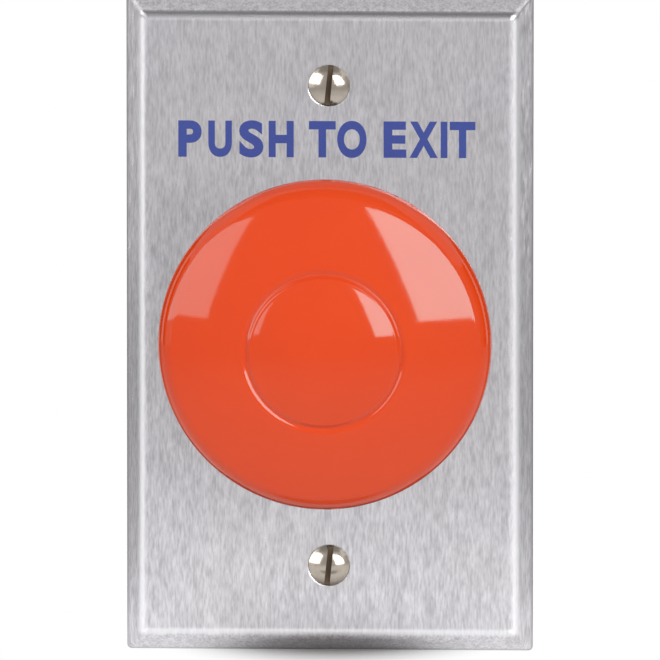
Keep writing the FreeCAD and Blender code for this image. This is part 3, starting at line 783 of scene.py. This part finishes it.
def legend():
    """The printed words above the button, a thin film on the plate's face."""
    bm = bmesh.new()
    for character, left, right in legend_letters:
        bm.from_mesh(letter(character, left, right))
    return finished(bm, "legend_film", smooth_angle=30.0)


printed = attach(legend(), "panel")
printed.data.materials.append(blue_ink())


# Floor, light and camera


def direction(azimuth, elevation):
    """Where a thing lies as seen from the button; azimuth is from straight ahead to the right."""
    a, e = math.radians(azimuth), math.radians(elevation)
    return Vector((math.sin(a) * math.cos(e), -math.cos(a) * math.cos(e), math.sin(e)))


def panel(name, distance, corners, level):
    """A glowing studio panel that fills an outline of (azimuth, elevation) corners."""
    bm = bmesh.new()
    bm.faces.new([bm.verts.new(direction(*corner) * distance) for corner in corners])
    sheet = finished(bm, name)
    glow = Finish(name)
    shader = glow.node("ShaderNodeEmission", {"Color": WHITE, "Strength": level})
    glow.tree.nodes.remove(glow.tree.nodes["Principled BSDF"])
    glow.feed(glow.tree.nodes["Material Output"].inputs["Surface"], shader)
    sheet.data.materials.append(glow.data)


# Panels by name: metres away, light, corners as (azimuth, elevation)
studio_panels = {
    "right_softbox": (softbox_distance, 8.0,
                      [(28.5, 0.5), (61, 0.5), (58, 14), (47, 29), (33, 34), (13.5, 38)]),
    "left_softbox": (softbox_distance, 3.7,
                     [(-39.5, 0.5), (-92, 0.5), (-84, 17), (-79, 31), (-64, 38), (-53, 40), (-29, 33)]),
    "front_wall": (front_distance, 0.6,
                   [(-60, -45), (0, -50), (60, -45), (62, 0), (60, 40), (30, 44), (-30, 44), (-60, 40),
                    (-62, 0)]),
    "overhead_flag": (front_distance, 0.4,
                      [(-60, 41), (0, 45), (60, 41), (90, 70), (0, 88), (-90, 70)]),
    "rear_softbox": (side_distance, 0.65,
                     [(125, 24), (180, 24), (235, 24), (235, 60), (180, 86), (125, 60)]),
}
# Walls and flags from the right side round the back to the left: azimuth from and to, light
side_panels = {
    "right_wall": (62, 80, 0.6),
    "right_card": (80, 97, 0.3),
    "right_flag": (97, 110, 0.05),
    "right_side": (110, 123, 1.3),
    "right_rear_flag": (123, 148, 0.05),
    "rear_wall": (148, 212, 0.5),
    "left_rear_flag": (212, 237, 0.05),
    "left_side": (237, 250, 1.3),
    "left_flag": (250, 263, 0.05),
    "left_wall": (263, 270, 0.6),
}
for name, (start, end, level) in side_panels.items():
    middle = (start + end) / 2
    outline = [(start, side_low), (middle, side_low), (end, side_low)]
    outline += [(end, side_high), (middle, side_high), (start, side_high)]
    studio_panels[name] = (side_distance, level, outline)
for name, (distance, level, corners) in studio_panels.items():
    panel(name, distance, corners, level)

# The background is white to the camera and in mirrors, and lights the object with less
room = Finish("studio", bpy.data.worlds.new("studio"))
bpy.context.scene.world = room.data
backdrop = room.tree.nodes["Background"]
room.feed(backdrop.inputs["Color"], WHITE)
in_view = room.seen_by("Is Camera Ray", "Is Glossy Ray", "Is Transmission Ray")
room.feed(backdrop.inputs["Strength"], in_view * (1 - room_light) + room_light)


def pale_floor():
    """Pale paper with a painted shadow at the plate's foot, besides its own shade there, that runs out
    into the white background.
    """
    bm = bmesh.new()
    bmesh.ops.create_grid(bm, x_segments=1, y_segments=1, size=floor_half * MM)
    bmesh.ops.translate(bm, verts=bm.verts, vec=(0, 0, -(plate_height / 2 + floor_gap) * MM))
    floor = finished(bm, "floor")
    paper = Finish("pale_floor")
    across, along, _ = paper.axes()
    reach = paper.maths("SQRT", paper.oval(across, along, foot_middle, foot_half))
    # Painted shadow: in the oval at the plate's foot the paper is a darker grey, and it shows its own
    # shade there in place of the white background
    foot = paper.spread(reach, foot_core, 1.0, 1.0, 0.0, "SMOOTHSTEP")
    grain = paper.noise((0.2, 0.2, 0.2), detail=2.0)
    pale = paper.mix(grain, colour(212, 212, 213), colour(220, 220, 221))
    paper.surface(Base_Color=paper.mix(foot, pale, colour(148, 145, 143)), Roughness=0.4)
    # Painted shade in the white that mirrors see of the floor
    dimming = paper.seen_by("Is Glossy Ray") * painted_mirror_shade(paper, across, along)
    white = paper.node("ShaderNodeEmission", {"Color": WHITE, "Strength": 1.0 - dimming})
    in_view = paper.seen_by("Is Camera Ray", "Is Glossy Ray", "Is Transmission Ray")
    near = Channel(paper, paper.tree.nodes["Principled BSDF"].outputs[0])
    surface = paper.node("ShaderNodeMixShader", {0: (1.0 - foot) * in_view, 1: near, 2: white})
    paper.feed(paper.tree.nodes["Material Output"].inputs["Surface"], surface)
    floor.data.materials.append(paper.data)


def painted_mirror_shade(paper, across, along):
    """Painted shade in the white that the floor shows to mirrors: how much dimmer it is far off, before
    the button, beside the plate, and when mirrored twice.
    """
    distance = paper.maths("SQRT", across * across + along * along)
    dimming = paper.spread(distance, *far_floor, 0.0, far_dimming)
    # Painted shadow of the button on the floor before it, seen only in mirrors
    front = paper.oval(across, along, front_shade_middle, front_shade_half)
    front = paper.spread(front, front_shade_core, 1.0, front_dimming, 0.0, "SMOOTHSTEP")
    # Painted dark wings beside and behind the plate, seen only in mirrors
    beside = paper.maths("ABSOLUTE", across)
    behind_line = along - (beside - wing_start) * wing_slope
    wings = paper.spread(behind_line, *wing_edge, 0.0, wing_dimming, "SMOOTHSTEP")
    wings = wings * paper.spread(along - beside * wing_end_slope, *wing_end, 1.0, 0.0, "SMOOTHSTEP")
    # Painted shade in what is mirrored twice
    mirrors = paper.node("ShaderNodeLightPath", output="Glossy Depth")
    twice = paper.spread(mirrors, 1.0, 2.0, 0.0, twice_mirrored_dimming)
    for other in (front, wings, twice):
        dimming = paper.maths("MAXIMUM", dimming, other)
    return dimming


pale_floor()

# The camera stands far off with a long lens, so that the plate shows no perspective
camera_data = bpy.data.cameras.new("camera")
camera_data.lens = lens
camera_data.sensor_width = sensor
camera_data.clip_start = 0.01
camera_data.clip_end = 12.0
camera = bpy.data.objects.new("camera", camera_data)
bpy.context.scene.collection.objects.link(camera)
bpy.context.scene.camera = camera
toward = direction(camera_azimuth, camera_elevation)
right = direction(camera_azimuth + 90, 0)
above = direction(camera_azimuth, camera_elevation + 90)
aim = Vector((0, face, 0)) * MM + (right * aim_right - above * aim_down) / pixels_per_mm * MM
camera.location = aim + toward * (picture / pixels_per_mm * MM * lens / sensor)
camera.rotation_mode = "QUATERNION"
camera.rotation_quaternion = (-toward).to_track_quat("-Z", "Y")

bpy.context.scene.view_settings.view_transform = "Standard"
